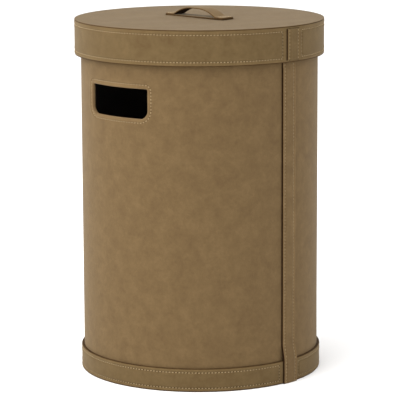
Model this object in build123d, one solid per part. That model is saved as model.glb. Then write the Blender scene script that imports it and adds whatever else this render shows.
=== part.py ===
from build123d import *
import math
import os

# Round storage bin with a loose slip-over lid, made of leather-faced board with cut, inked edges.
# Millimetres. The origin is on the bin's axis at floor level, +Z is up.
# The upright seam strip faces -Y, and the two hand holes face -X and +X.

# Driving dimensions
LID_RADIUS = 186.2
LID_TOP = 529.0
LID_RIM_BOTTOM = 477.0
BODY_RADIUS = 177.0
BASE_BAND_RADIUS = 180.9
BASE_BAND_HEIGHT = 34.4
HAND_HOLE_TOP = 442.0
HAND_HOLE_BOTTOM = 397.3
HAND_HOLE_WIDTH = 111.5
HANDLE_LENGTH = 118.0
HANDLE_HEIGHT = 15.0
HANDLE_BASE_WIDTH = 25.0
HANDLE_STRAP_WIDTH = 23.5

# Sheet thicknesses
COVER = 1.2
WALL_BOARD = 2.4
LINING = 0.8
UNDERSIDE_SHEET = 1.0
BASE_BOARD = 4.0
STRIP = 2.2
BINDING = 1.2
LID_TOP_COVER = 1.6
LID_BOARD = 3.1
LID_RIM_COVER = 1.4
LID_RIM_BOARD = 2.2
LID_RIM_LINING = 0.8
HANDLE_BASE = 2.0
STRAP = 1.6

# Wall, from the outside in
CORE_OUTER = BODY_RADIUS - COVER
CORE_INNER = CORE_OUTER - WALL_BOARD
LINING_INNER = CORE_INNER - LINING
LID_GAP = 0.3
LID_LINING_BOTTOM = LID_TOP - LID_TOP_COVER - LID_BOARD - LINING
BINDING_TOP = LID_LINING_BOTTOM - LID_GAP
WALL_TOP = BINDING_TOP - BINDING
WALL_BOTTOM = UNDERSIDE_SHEET
BINDING_DEPTH = 18.0
BUTT_GAP = 1.5

# Lid rim, from the outside in
RIM_CORE_OUTER = LID_RADIUS - LID_RIM_COVER
RIM_CORE_INNER = RIM_CORE_OUTER - LID_RIM_BOARD
RIM_LINING_INNER = RIM_CORE_INNER - LID_RIM_LINING
LID_BOARD_BOTTOM = LID_TOP - LID_TOP_COVER - LID_BOARD

# Seam strips
BODY_STRIP_WIDTH = 27.6
LID_STRIP_WIDTH = 27.5
STRIP_DRAPE = 14.0

# Hand holes: nearly square at the top, rounded at the bottom
HOLE_TOP_FILLET = 3.0
HOLE_BOTTOM_FILLET = 13.0

# Strap handle: half the span of each line that its middle surface follows, and the bends between them
FOOT_HALF_SPAN = 42.5
CROWN_HALF_SPAN = 24.0
FOOT_BEND = 6.0
CROWN_BEND = 50.0

# Stitching: a thin bar stands for each row of stitches
THREAD_HEIGHT = 0.5
THREAD_WIDTH = 0.9
RIM_STITCH_INSET = 5.8
BAND_STITCH_INSET = 5.7
HOLE_STITCH_INSET = 5.4
STRIP_STITCH_INSET = 4.6
TAB_STITCH_WIDTH = 18.5
TAB_STITCH_LENGTH = 10.0
TAB_STITCH_MIDDLE = 51.6

SEAM_DIRECTION = -90.0
PARTS_FOLDER = "parts"


def tube(outer, inner, low, high):
    """A plain tube about Z between two heights."""
    ring = Circle(outer) - Circle(inner)
    return Pos(0, 0, low) * extrude(ring, amount=high - low)


def disc(radius, low, high):
    return Pos(0, 0, low) * extrude(Circle(radius), amount=high - low)


def butt_gap(width):
    """The slot that the rolled sheet's two ends leave between them at the seam."""
    reach = 2 * LID_RADIUS
    return Pos(0, -reach / 2, LID_TOP / 2) * Box(width, reach, 2 * LID_TOP)


def sector(points, width, radius):
    """A strip across the seam: an outline of (radius, height) points turned about Z to the given width."""
    angle = math.degrees(width / radius)
    face = Plane.XZ * make_face(Polyline(*points, close=True))
    return Rot(0, 0, SEAM_DIRECTION - angle / 2) * revolve(face, Axis.Z, revolution_arc=angle)


def hand_hole_outline(inset=0.0):
    """The hole's outline in Y and Z, with small top corners and large bottom ones, grown by the inset."""
    half = HAND_HOLE_WIDTH / 2 + inset
    top = HAND_HOLE_TOP + inset
    bottom = HAND_HOLE_BOTTOM - inset
    corners = [(-half, bottom), (half, bottom), (half, top), (-half, top)]
    low, high = HOLE_BOTTOM_FILLET + inset, HOLE_TOP_FILLET + inset
    return FilletPolyline(*corners, radius=[low, low, high, high], close=True)


def hand_hole_prism(inset=0.0):
    face = Plane.YZ * make_face(hand_hole_outline(inset))
    return extrude(face, amount=2 * BODY_RADIUS, both=True)


def strip_profile(start, thickness):
    """The upright strip's outline: it bridges the base band below and the top binding above."""
    band, body, binding = BASE_BAND_RADIUS, BODY_RADIUS, BODY_RADIUS + BINDING
    binding_bottom = BINDING_TOP - BINDING_DEPTH
    path = [
        (band, 0.0),
        (band, BASE_BAND_HEIGHT),
        (body, BASE_BAND_HEIGHT + STRIP_DRAPE),
        (body, binding_bottom - STRIP_DRAPE),
        (binding, binding_bottom),
        (binding, BINDING_TOP),
    ]
    inner = [(r + start, z) for r, z in path]
    outer = [(r + start + thickness, z) for r, z in reversed(path)]
    return inner + outer


def underside_cover():
    return disc(BODY_RADIUS, 0, UNDERSIDE_SHEET)


def base_board():
    return disc(CORE_INNER, WALL_BOTTOM, WALL_BOTTOM + BASE_BOARD)


def base_lining():
    bottom = WALL_BOTTOM + BASE_BOARD
    return disc(LINING_INNER, bottom, bottom + LINING)


def wall_cover():
    return tube(BODY_RADIUS, CORE_OUTER, WALL_BOTTOM, WALL_TOP) - butt_gap(BUTT_GAP) - hand_hole_prism()


def wall_board():
    return tube(CORE_OUTER, CORE_INNER, WALL_BOTTOM, WALL_TOP) - butt_gap(BUTT_GAP) - hand_hole_prism()


def wall_lining():
    bottom = WALL_BOTTOM + BASE_BOARD
    return tube(CORE_INNER, LINING_INNER, bottom, WALL_TOP) - hand_hole_prism()


def base_band():
    return tube(BASE_BAND_RADIUS, BODY_RADIUS, 0, BASE_BAND_HEIGHT) - butt_gap(BUTT_GAP)


def top_binding():
    """A folded edging over the wall's top edge, with a leg down each side."""
    fold = tube(BODY_RADIUS + BINDING, LINING_INNER - BINDING, BINDING_TOP - BINDING_DEPTH, BINDING_TOP)
    wall = tube(BODY_RADIUS, LINING_INNER, WALL_BOTTOM, WALL_TOP)
    return fold - wall - butt_gap(BUTT_GAP)


def seam_strip():
    return sector(strip_profile(0, STRIP), BODY_STRIP_WIDTH, BODY_RADIUS)


def ring_thread(radius, height):
    """A row of stitches round a band. It stops at the seam strip's two edges."""
    row = tube(radius + THREAD_HEIGHT, radius, height - THREAD_WIDTH / 2, height + THREAD_WIDTH / 2)
    return row - butt_gap(LID_STRIP_WIDTH + 2)


def top_binding_thread():
    height = BINDING_TOP - BINDING_DEPTH + STRIP_STITCH_INSET
    return ring_thread(BODY_RADIUS + BINDING, height)


def seam_strip_threads():
    """The two upright rows, one near each edge of the seam strip."""
    row = sector(strip_profile(STRIP, THREAD_HEIGHT), THREAD_WIDTH, BODY_RADIUS)
    offset = math.degrees((BODY_STRIP_WIDTH / 2 - STRIP_STITCH_INSET) / BODY_RADIUS)
    return [Rot(0, 0, side * offset) * row for side in (-1, 1)]


def hand_hole_thread(side):
    """The row of stitches round one hand hole. side is -1 for -X and 1 for +X."""
    half = THREAD_WIDTH / 2
    frame = hand_hole_prism(HOLE_STITCH_INSET + half) - hand_hole_prism(HOLE_STITCH_INSET - half)
    skin = tube(BODY_RADIUS + THREAD_HEIGHT, BODY_RADIUS, WALL_BOTTOM, WALL_TOP)
    reach = 2 * BODY_RADIUS
    half_space = Pos(side * reach / 2, 0, LID_TOP / 2) * Box(reach, 2 * reach, 2 * LID_TOP)
    return skin & frame & half_space


def lid_board():
    return disc(RIM_CORE_OUTER, LID_BOARD_BOTTOM, LID_BOARD_BOTTOM + LID_BOARD)


def lid_top_cover():
    return disc(LID_RADIUS, LID_TOP - LID_TOP_COVER, LID_TOP)


def lid_top_lining():
    return disc(RIM_LINING_INNER, LID_LINING_BOTTOM, LID_BOARD_BOTTOM)


def lid_rim_board():
    return tube(RIM_CORE_OUTER, RIM_CORE_INNER, LID_RIM_BOTTOM, LID_BOARD_BOTTOM) - butt_gap(BUTT_GAP)


def lid_rim_cover():
    return tube(LID_RADIUS, RIM_CORE_OUTER, LID_RIM_BOTTOM, LID_TOP - LID_TOP_COVER) - butt_gap(BUTT_GAP)


def lid_rim_lining():
    return tube(RIM_CORE_INNER, RIM_LINING_INNER, LID_RIM_BOTTOM, LID_BOARD_BOTTOM)


def lid_strip_outline(start, thickness):
    low, high = LID_RIM_BOTTOM, LID_TOP - LID_TOP_COVER
    inner, outer = LID_RADIUS + start, LID_RADIUS + start + thickness
    return [(inner, low), (inner, high), (outer, high), (outer, low)]


def lid_seam_strip():
    return sector(lid_strip_outline(0, STRIP), LID_STRIP_WIDTH, LID_RADIUS)


def lid_strip_threads():
    row = sector(lid_strip_outline(STRIP, THREAD_HEIGHT), THREAD_WIDTH, LID_RADIUS)
    offset = math.degrees((LID_STRIP_WIDTH / 2 - STRIP_STITCH_INSET) / LID_RADIUS)
    return [Rot(0, 0, side * offset) * row for side in (-1, 1)]


def handle_base():
    return Pos(0, 0, LID_TOP + HANDLE_BASE / 2) * Box(HANDLE_BASE_WIDTH, HANDLE_LENGTH, HANDLE_BASE)


def handle_strap():
    """The arched strap: its two tabs lie on the handle base, and its crown leaves a finger gap."""
    tab = LID_TOP + HANDLE_BASE + STRAP / 2
    crown = LID_TOP + HANDLE_HEIGHT - STRAP / 2
    end = HANDLE_LENGTH / 2
    left = [(-end, tab), (-FOOT_HALF_SPAN, tab), (-CROWN_HALF_SPAN, crown)]
    right = [(-y, z) for y, z in reversed(left)]
    middle_line = FilletPolyline(*left, *right, radius=[FOOT_BEND, CROWN_BEND, CROWN_BEND, FOOT_BEND])
    outline = Plane.YZ * trace(middle_line, STRAP)
    return extrude(outline, amount=HANDLE_STRAP_WIDTH / 2, both=True)


def handle_threads():
    """A stitched rectangle on each of the strap's tabs."""
    inside = Rectangle(TAB_STITCH_WIDTH - 2 * THREAD_WIDTH, TAB_STITCH_LENGTH - 2 * THREAD_WIDTH)
    row = extrude(Rectangle(TAB_STITCH_WIDTH, TAB_STITCH_LENGTH) - inside, amount=THREAD_HEIGHT)
    top = LID_TOP + HANDLE_BASE + STRAP
    return [Pos(0, side * TAB_STITCH_MIDDLE, top) * row for side in (-1, 1)]


def all_parts():
    return {
        "underside_cover": underside_cover(),
        "base_board": base_board(),
        "base_lining": base_lining(),
        "wall_board": wall_board(),
        "wall_cover": wall_cover(),
        "wall_lining": wall_lining(),
        "base_band": base_band(),
        "top_binding": top_binding(),
        "seam_strip": seam_strip(),
        "base_band_thread_upper": ring_thread(BASE_BAND_RADIUS, BASE_BAND_HEIGHT - BAND_STITCH_INSET),
        "base_band_thread_lower": ring_thread(BASE_BAND_RADIUS, BAND_STITCH_INSET),
        "top_binding_thread": top_binding_thread(),
        "seam_strip_threads": Compound(seam_strip_threads()),
        "hand_hole_thread_left": hand_hole_thread(-1),
        "hand_hole_thread_right": hand_hole_thread(1),
        "lid_board": lid_board(),
        "lid_top_cover": lid_top_cover(),
        "lid_top_lining": lid_top_lining(),
        "lid_rim_board": lid_rim_board(),
        "lid_rim_cover": lid_rim_cover(),
        "lid_rim_lining": lid_rim_lining(),
        "lid_seam_strip": lid_seam_strip(),
        "lid_rim_thread_upper": ring_thread(LID_RADIUS, LID_TOP - LID_TOP_COVER - RIM_STITCH_INSET),
        "lid_rim_thread_lower": ring_thread(LID_RADIUS, LID_RIM_BOTTOM + RIM_STITCH_INSET),
        "lid_strip_threads": Compound(lid_strip_threads()),
        "handle_base": handle_base(),
        "handle_strap": handle_strap(),
        "handle_threads": Compound(handle_threads()),
    }


os.makedirs(PARTS_FOLDER, exist_ok=True)
for name, shape in all_parts().items():
    export_step(shape, f"{PARTS_FOLDER}/{name}.step")
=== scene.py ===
import math

import bmesh
import bpy
import numpy as np
from mathutils import Euler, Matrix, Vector


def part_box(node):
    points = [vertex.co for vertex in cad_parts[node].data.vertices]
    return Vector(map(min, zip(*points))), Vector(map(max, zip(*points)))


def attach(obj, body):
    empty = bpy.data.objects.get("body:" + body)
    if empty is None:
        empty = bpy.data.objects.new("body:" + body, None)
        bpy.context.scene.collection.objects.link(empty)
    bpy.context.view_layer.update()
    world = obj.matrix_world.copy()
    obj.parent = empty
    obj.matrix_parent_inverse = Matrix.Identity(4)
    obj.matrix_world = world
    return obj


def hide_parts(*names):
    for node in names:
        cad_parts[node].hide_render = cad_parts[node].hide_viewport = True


# The looks of a round storage bin with a slip-over lid: nubuck-look leather sheet over board, sewn with
# a thick light thread. Metres, in the frame's own axes: the bin stands on Z = 0 and its seam faces -Y.

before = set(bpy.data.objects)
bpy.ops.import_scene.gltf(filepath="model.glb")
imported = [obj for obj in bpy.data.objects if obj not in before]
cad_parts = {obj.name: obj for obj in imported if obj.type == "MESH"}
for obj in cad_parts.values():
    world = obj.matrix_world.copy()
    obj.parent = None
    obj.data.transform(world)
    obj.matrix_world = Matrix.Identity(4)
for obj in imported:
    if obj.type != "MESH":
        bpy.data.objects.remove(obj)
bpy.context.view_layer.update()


def node_radius(node):
    """Outer radius of a round node, which reaches it at +X."""
    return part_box(node)[1].x


def node_low(node):
    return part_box(node)[0].z


def node_high(node):
    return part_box(node)[1].z


def half_angle(node):
    """Half the angle that an upright strip on the -Y side takes round the axis."""
    low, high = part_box(node)
    return math.asin(high.x / -low.y)


# Sizes from the frame
BODY_RADIUS = node_radius("wall_cover")
BOARD_RADIUS = node_radius("wall_board")
LINING_RADIUS = node_radius("wall_lining")
INSIDE_RADIUS = node_radius("base_lining")
BAND_RADIUS = node_radius("base_band")
BINDING_RADIUS = node_radius("top_binding")
RIM_RADIUS = node_radius("lid_rim_cover")
RIM_BOARD_RADIUS = node_radius("lid_rim_board")
RIM_LINING_RADIUS = node_radius("lid_rim_lining")
RIM_INSIDE_RADIUS = node_radius("lid_top_lining")
WALL_LOW, WALL_HIGH = node_low("wall_cover"), node_high("wall_cover")
BAND_LOW, BAND_HIGH = node_low("base_band"), node_high("base_band")
BINDING_LOW, BINDING_HIGH = node_low("top_binding"), node_high("top_binding")
RIM_LOW = node_low("lid_rim_cover")
LID_HIGH = node_high("lid_top_cover")
BODY_STRIP_ANGLE = half_angle("seam_strip")
LID_STRIP_ANGLE = half_angle("lid_seam_strip")
BINDING_SHEET = BINDING_RADIUS - BODY_RADIUS
STRIP_SHEET = -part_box("seam_strip")[0].y - BAND_RADIUS
LID_STRIP_SHEET = -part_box("lid_seam_strip")[0].y - RIM_RADIUS

# Stitching
STITCH_PITCH = 0.00485
STITCH_SHARE = 0.61
THREAD_RADIUS = 0.00042
THREAD_DIP = 0.0008
THREAD_SLANT = math.radians(6)
SLANT_SPREAD = math.radians(1.6)
PLY_LOBE = 0.13
PLY_TURNS = 1.6
STITCH_RINGS = 11
STITCH_SIDES = 10
COLUMNS_PER_STITCH = 4
GROOVE_DEPTH = 0.0009
GROOVE_WIDTH = 0.0012
ROLL_HEIGHT = 0.0003
ROLL_WIDTH = 0.0016
ROLL_OFFSET = 0.0030
PUCKER = 0.4
UPRIGHT_PHASE = 0.2
SUNK_RISE = -0.00036
FLUSH_RISE = 0.00012
RISE_SPREAD = 0.00004
NEEDLE_LONG = 0.00085
NEEDLE_WIDE = 0.0005
NEEDLE_TILT = math.radians(28)
NEEDLE_RIM = 0.00060
NEEDLE_DEEP = 0.00084
NEEDLE_SIDES = 8
STRIP_STITCH_INSET = 0.0046
HOLE_STITCH_INSET = 0.0054
THREAD_HALF_WIDTH = 0.00045
PANEL_END_INSET = 0.007
STRIP_END_LOW = 0.003
STRIP_END_HIGH = 0.0023
STRIP_SWELL = 0.0008
STRIP_CROWN = 0.0002
END_THINNING = 0.3

# Cut edges
EDGE_ROUND = 0.0009
FACE_DEPTH = 0.0004
INK_REACH = 0.0011
# The base band's foot is painted dark higher up than its head: edge ink on the cut edge, and painted shade
# above it where the band meets the floor
FOOT_INK_AND_SHADE_REACH = 0.0018
HEAD_INK_REACH = 0.0006
PAINT_FILM = 0.0004

# Tone of the hide and the thread, and painted shade on the lid's top
MARGIN_FADE = 0.0016
MARGIN_SHADE = 0.6
FAINT_THREAD_SHADE = -3.0
STRIP_THREAD_SHADE = -1.5
HOLE_THREAD_SHADE = -0.7
FOOT_THREAD_SHADE = -1.6
# Painted shade: the lid's top leather is made darker because the key light falls brighter on it than on the
# sides
LID_TOP_PAINTED_SHADE = -1.1
SHADE_GAIN = 0.15

SEAM = math.radians(-90)
STRIP_DRAPE = 0.026
STRIP_PRESS = 0.006
CLEAR = 0.0001
SHARP_ANGLE = math.radians(50)
BAND_STEP = 0.003
LINING_STEP = 0.006
ROUND_COLUMNS = 288


# ---- mesh kit


def unit(vectors):
    return vectors / np.linalg.norm(vectors, axis=-1, keepdims=True)


def on_axis(radius, angle, height):
    """Points from cylindrical values, which may be arrays of one shape."""
    radius, angle, height = np.broadcast_arrays(radius, angle, height)
    return np.stack([radius * np.cos(angle), radius * np.sin(angle), height], axis=-1)


def smooth_step(value):
    value = np.clip(value, 0, 1)
    return value * value * (3 - 2 * value)


def waviness(across, along, size, seed):
    """Smooth fixed unevenness of about -1 to 1, made of a few crossing waves of about the given size."""
    random = np.random.default_rng(seed)
    total = np.zeros(np.broadcast(across, along).shape)
    waves = 7
    for _ in range(waves):
        heading = random.uniform(0, 2 * math.pi)
        length = size * random.uniform(0.6, 1.7)
        phase = random.uniform(0, 2 * math.pi)
        run = across * math.cos(heading) + along * math.sin(heading)
        total += np.sin(2 * math.pi * run / length + phase)
    return total / waves ** 0.5


def grid_faces(rows, columns, close_rows=False, close_columns=False):
    """Quads of a grid of points numbered row by row. Either way of it may close on itself."""
    row = np.arange(rows if close_rows else rows - 1)[:, None]
    column = np.arange(columns if close_columns else columns - 1)[None, :]
    next_row = (row + 1) % rows
    next_column = (column + 1) % columns
    corners = [(row, column), (row, next_column), (next_row, next_column), (next_row, column)]
    return np.stack([r * columns + c for r, c in corners], axis=-1).reshape(-1, 4)


class Shell:
    """Points and faces of one piece, gathered part by part. Each face has the number of its finish."""

    def __init__(self):
        self.points = []
        self.shades = []
        self.faces = []
        self.finishes = []
        self.count = 0

    def add(self, points, faces, finish=0, shade=0.0):
        """shade is how much lighter or, below 0, darker than its own tone the leather or the thread is at
        each point: the lighter margins of the hide, the tones of the thread, and painted shade on the lid's
        top.
        """
        points = np.asarray(points)
        self.shades.append(np.broadcast_to(shade, points.shape[:-1]).reshape(-1))
        points = points.reshape(-1, 3)
        faces = [[corner + self.count for corner in face] for face in np.asarray(faces).tolist()]
        self.points.append(points)
        self.faces += faces
        self.finishes += np.broadcast_to(finish, len(faces)).tolist()
        self.count += len(points)

    def make(self, name, body, finishes, node=None, weld=False):
        """The finished piece, on its body and in place of its CAD node where it has one."""
        mesh = bpy.data.meshes.new(name)
        mesh.from_pydata(np.concatenate(self.points).tolist(), [], self.faces)
        shade = mesh.attributes.new("shade", "FLOAT", "POINT")
        shade.data.foreach_set("value", np.concatenate(self.shades).astype(np.float32))
        mesh.polygons.foreach_set("material_index", self.finishes)
        for finish in finishes:
            mesh.materials.append(finish)
        build = bmesh.new()
        build.from_mesh(mesh)
        if weld:
            bmesh.ops.remove_doubles(build, verts=build.verts, dist=1e-6)
        bmesh.ops.recalc_face_normals(build, faces=build.faces)
        build.to_mesh(mesh)
        build.free()
        mesh.shade_smooth()
        mesh.set_sharp_from_angle(angle=SHARP_ANGLE)
        piece = bpy.data.objects.new(name, mesh)
        bpy.context.scene.collection.objects.link(piece)
        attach(piece, body)
        if node:
            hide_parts(node)
        return piece


def fillet(before, corner, after, radius, steps):
    """Points of the arc that rounds a corner of a line through three points."""
    before, corner, after = (np.array(point, float) for point in (before, corner, after))
    to_before, to_after = unit(before - corner), unit(after - corner)
    half = math.acos(np.clip(to_before @ to_after, -1, 1)) / 2
    centre = corner + unit(to_before + to_after) * radius / math.sin(half)
    start = corner + to_before * radius / math.tan(half) - centre
    end = corner + to_after * radius / math.tan(half) - centre
    sweep = math.pi - 2 * half
    share = np.linspace(0, 1, steps + 1)[:, None]
    arc = (np.sin((1 - share) * sweep) * start + np.sin(share * sweep) * end) / math.sin(sweep)
    return centre + arc


def rounded_line(corners, radii, steps, closed):
    """A line through corners with each one rounded. Where a radius is 0, the corner stays as it is."""
    count = len(corners)
    line = []
    for i, (corner, radius) in enumerate(zip(corners, radii)):
        if radius == 0 or (not closed and i in (0, count - 1)):
            line.append(np.array([corner], float))
        else:
            line.append(fillet(corners[i - 1], corner, corners[(i + 1) % count], radius, steps))
    return np.concatenate(line)


def closed_up(line):
    return np.concatenate([line, line[:1]])


def run_along(line):
    """The distance from a line's start to each of its points."""
    return np.concatenate([[0], np.cumsum(np.linalg.norm(np.diff(line, axis=0), axis=1))])


def resample(line, spots, run=None):
    """Values of a line at the given distances along it, or along another line's run."""
    run = run_along(line) if run is None else run
    return np.stack([np.interp(spots, run, line[:, axis]) for axis in range(line.shape[1])], axis=1)


def line_length(line):
    return float(np.linalg.norm(np.diff(line, axis=0), axis=1).sum())


def spots_near(low, high, centres, step):
    """Heights from low to high: about step apart, and close together at each stitch row's centre."""
    spots = list(np.linspace(low, high, max(2, round((high - low) / step) + 1)))
    close = np.array([-3.2, -2.4, -1.8, -1.3, -0.9, -0.45, 0, 0.45, 0.9, 1.3, 1.8, 2.4, 3.2]) / 1000
    kept_off = 0.0038
    for centre in centres:
        spots = [z for z in spots if abs(z - centre) > kept_off or z in (low, high)]
        spots += [centre + offset for offset in close if low < centre + offset < high]
    return sorted(spots)


def section(inner, outer, low, high, rows, rounds):
    """Closed (thickness, height) section of a band: outer face up, top, inner face down, bottom.
    rounds holds the corner radii: outer low, outer high, inner high, inner low."""
    corners = [(outer, low), (outer, high), (inner, high), (inner, low)]
    parts = []
    for i, corner in enumerate(corners):
        if i == 1:
            parts.append(np.array([(outer, z) for z in rows if low + rounds[0] < z < high - rounds[1]]))
        if rounds[i] > 0:
            parts.append(fillet(corners[i - 1], corner, corners[(i + 1) % 4], rounds[i], 4))
        else:
            parts.append(np.array([corner]))
    return np.concatenate([part for part in parts if len(part)])


def groove(distance):
    """How far the surface sinks at a row of stitches, and swells beside it, by distance from the row."""
    sink = -GROOVE_DEPTH * np.exp(-(distance / GROOVE_WIDTH) ** 2)
    swell = ROLL_HEIGHT * np.exp(-((np.abs(distance) - ROLL_OFFSET) / ROLL_WIDTH) ** 2)
    return sink, swell


def pulled(distance, phase):
    """The same with each stitch hole pulled in deeper. phase counts stitches along the row."""
    sink, swell = groove(distance)
    return sink * (1 - PUCKER + PUCKER * np.cos(2 * math.pi * phase)) + swell


# ---- stitches


def stitch_shape():
    """One stitch of unit half length along X, its ends dipping, made of two plies twisted together."""
    along = np.linspace(-1, 1, STITCH_RINGS)[:, None]
    turn = (np.arange(STITCH_SIDES) * 2 * math.pi / STITCH_SIDES)[None, :]
    taper = np.sqrt(1 - 0.8 * along ** 8)
    ply = 1 + PLY_LOBE * np.cos(2 * turn - PLY_TURNS * math.pi * along)
    radius = THREAD_RADIUS * taper * ply
    drop = -THREAD_DIP * along ** 4
    y, z = radius * np.cos(turn), radius * np.sin(turn) + drop
    points = np.stack([np.broadcast_to(along, radius.shape), y, z])
    return np.moveaxis(points, 0, -1).reshape(-1, 3)


STITCH_POINTS = stitch_shape()
STITCH_FACES = grid_faces(STITCH_RINGS, STITCH_SIDES, close_columns=True)
STITCH_COUNT = STITCH_RINGS * STITCH_SIDES


def needle_holes(shell, holes, normals, along):
    """A slanted awl hole, a shallow cone painted dark as the shade inside it, at each place where the thread
    goes in.
    """
    across = np.cross(normals, along)
    long_way = along * math.cos(NEEDLE_TILT) + across * math.sin(NEEDLE_TILT)
    wide_way = across * math.cos(NEEDLE_TILT) - along * math.sin(NEEDLE_TILT)
    turn = np.arange(NEEDLE_SIDES) * 2 * math.pi / NEEDLE_SIDES
    ring = long_way[:, None] * (NEEDLE_LONG * np.cos(turn))[None, :, None]
    ring = ring + wide_way[:, None] * (NEEDLE_WIDE * np.sin(turn))[None, :, None]
    ring = ring + (holes - normals * NEEDLE_RIM)[:, None]
    points = np.concatenate([ring, (holes - normals * NEEDLE_DEEP)[:, None]], axis=1)
    around = np.arange(NEEDLE_SIDES)
    cone = np.stack([around, (around + 1) % NEEDLE_SIDES, np.full(NEEDLE_SIDES, NEEDLE_SIDES)], axis=1)
    faces = cone[None] + (np.arange(len(holes)) * (NEEDLE_SIDES + 1))[:, None, None]
    shell.add(points, faces.reshape(-1, 3), 1)


def sew(shell, holes, normals, seed=0, sunk=True, shade=0.0):
    """Adds a stitch between each hole of a row and the next, sunk in a groove or flush on a plain face."""
    random = np.random.default_rng(seed)
    start, end = holes[:-1], holes[1:]
    middle = (start + end) / 2
    along = end - start
    half = np.linalg.norm(along, axis=1) / 2 * STITCH_SHARE
    along = unit(along)
    up = normals[:-1] + normals[1:]
    up = unit(up - (up * along).sum(axis=1)[:, None] * along)
    across = np.cross(up, along)
    slant = (THREAD_SLANT + random.normal(0, SLANT_SPREAD, len(start)))[:, None]
    tilted = along * np.cos(slant) + across * np.sin(slant)
    sideways = across * np.cos(slant) - along * np.sin(slant)
    lift = random.normal(SUNK_RISE if sunk else FLUSH_RISE, RISE_SPREAD, len(start))[:, None]
    x, y, z = STITCH_POINTS.T
    points = middle[:, None] + tilted[:, None] * (half[:, None] * x)[:, :, None]
    points = points + sideways[:, None] * y[None, :, None] + up[:, None] * (z + lift)[:, :, None]
    faces = STITCH_FACES[None] + (np.arange(len(start)) * STITCH_COUNT)[:, None, None]
    shell.add(points, faces.reshape(-1, 4), 0, np.broadcast_to(shade, len(start))[:, None])
    caps = np.arange(STITCH_SIDES)[None] + (np.arange(len(start)) * STITCH_COUNT)[:, None]
    ends = np.concatenate([caps, caps + STITCH_COUNT - STITCH_SIDES]) - len(points) * STITCH_COUNT
    shell.add(np.zeros((0, 3)), ends)
    if sunk:
        heading = np.concatenate([along, along[-1:]])
        needle_holes(shell, holes, normals, heading)


def ring_row(shell, radius, height, angles, outward=True, seed=0, shade=0.0):
    """A row of stitches round the axis with its holes at the given angles, on an outer or an inner face."""
    sign = 1 if outward else -1
    normals = on_axis(sign, angles, 0.0)
    sew(shell, on_axis(radius, angles, height), normals, seed, outward, shade)


def upright_row(shell, radii, angle, heights, seed, shade):
    """A row of stitches up the wall at one angle."""
    normals = np.broadcast_to(on_axis(1, angle, 0.0), (len(heights), 3))
    sew(shell, on_axis(radii, angle, heights), normals, seed, shade=shade)


def stitch_count(length):
    return max(1, round(length / STITCH_PITCH))


def node_height(node):
    return (node_low(node) + node_high(node)) / 2


# ---- bands round the axis


class Panel:
    """A band's stitched outline: an upper and a lower row, and an end row each side of the seam strip."""

    def __init__(self, radius, strip_angle, low_row, high_row):
        self.radius = radius
        self.start = SEAM + strip_angle + PANEL_END_INSET / radius
        self.end = SEAM + 2 * math.pi - strip_angle - PANEL_END_INSET / radius
        self.low_row = low_row
        self.high_row = high_row
        self.count = stitch_count((self.end - self.start) * radius)
        self.pitch = (self.end - self.start) / self.count
        self.holes = self.start + self.pitch * np.arange(self.count + 1)

    def columns(self):
        """Angles of the band's mesh columns, a few to each stitch, right round."""
        sewn = self.start + self.pitch / COLUMNS_PER_STITCH * np.arange(self.count * COLUMNS_PER_STITCH)
        rest = self.start + 2 * math.pi - self.end
        covered = round(rest * self.radius / STITCH_PITCH * COLUMNS_PER_STITCH)
        end = self.start + 2 * math.pi
        return np.concatenate([sewn, np.linspace(self.end, end, covered, endpoint=False)])

    def outside(self, angle, height):
        """How far a place lies outside the stitched outline, or inside it where it is below 0."""
        middle, half = (self.low_row + self.high_row) / 2, (self.high_row - self.low_row) / 2
        half_round = (self.end - self.start) / 2 * self.radius
        round_out = np.abs((angle - self.start) * self.radius - half_round) - half_round
        return np.maximum(round_out, np.abs(height - middle) - half)

    def push(self, angle, height):
        """How far the face is pushed out at an angle and a height."""
        sewn = (angle - self.start) / self.pitch
        beside = (angle < self.start) | (angle > self.end) | (np.abs(angle - self.start) < 0.001)
        phase = np.where(beside, UPRIGHT_PHASE, sewn) + 0 * height
        return pulled(np.abs(self.outside(angle, height)), phase)

    def shade(self, angle, height):
        """The pull of the thread leaves the margins outside it lighter."""
        return MARGIN_SHADE * smooth_step(self.outside(angle, height) / MARGIN_FADE + 0.5)


def turned_band(shell, profile, angles, push, outer, finish, shade=0.0):
    """A closed (radius, height) section turned about Z, with its outer face pushed in and out."""
    radius, height = profile[:, 0][:, None], profile[:, 1][:, None]
    facing = np.isclose(radius, outer)
    moved = radius + np.where(facing, push(angles[None, :], height), 0)
    points = on_axis(moved, angles[None, :], height)
    faces = grid_faces(len(profile), len(angles), close_rows=True, close_columns=True)
    shell.add(points, faces, np.repeat(finish, len(angles)), shade)


def segment_middles(profile):
    return (profile + np.roll(profile, -1, axis=0)) / 2


def still(distance, phase):
    """No push, at a face without stitches."""
    return 0 * distance * phase


def sewn_band(name, node, thread, body, finishes, strip_angle, inner, rounds, ink, ink_rows=()):
    """A leather band sewn on round the axis. ink is how far its low and its high edge are painted dark: edge
    ink, which at the base band's foot runs higher as painted shade where the band meets the floor.
    """
    radius, low, high = node_radius(node), node_low(node), node_high(node)
    rows = [node_height(f"{thread}_lower"), node_height(f"{thread}_upper")]
    panel = Panel(radius, strip_angle, *rows)
    heights = sorted(spots_near(low, high, rows, BAND_STEP) + list(ink_rows))
    profile = section(inner, radius, low, high, heights, rounds)
    middles = segment_middles(profile)
    inked = (middles[:, 1] < low + ink[0]) | (middles[:, 1] > high - ink[1])
    inked |= middles[:, 0] < radius - FACE_DEPTH
    shell = Shell()
    angles = panel.columns()
    shade = panel.shade(angles[None, :], profile[:, 1][:, None])
    turned_band(shell, profile, angles, panel.push, radius, inked.astype(int), shade)
    shell.make(name, body, finishes, node)
    return panel


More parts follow.
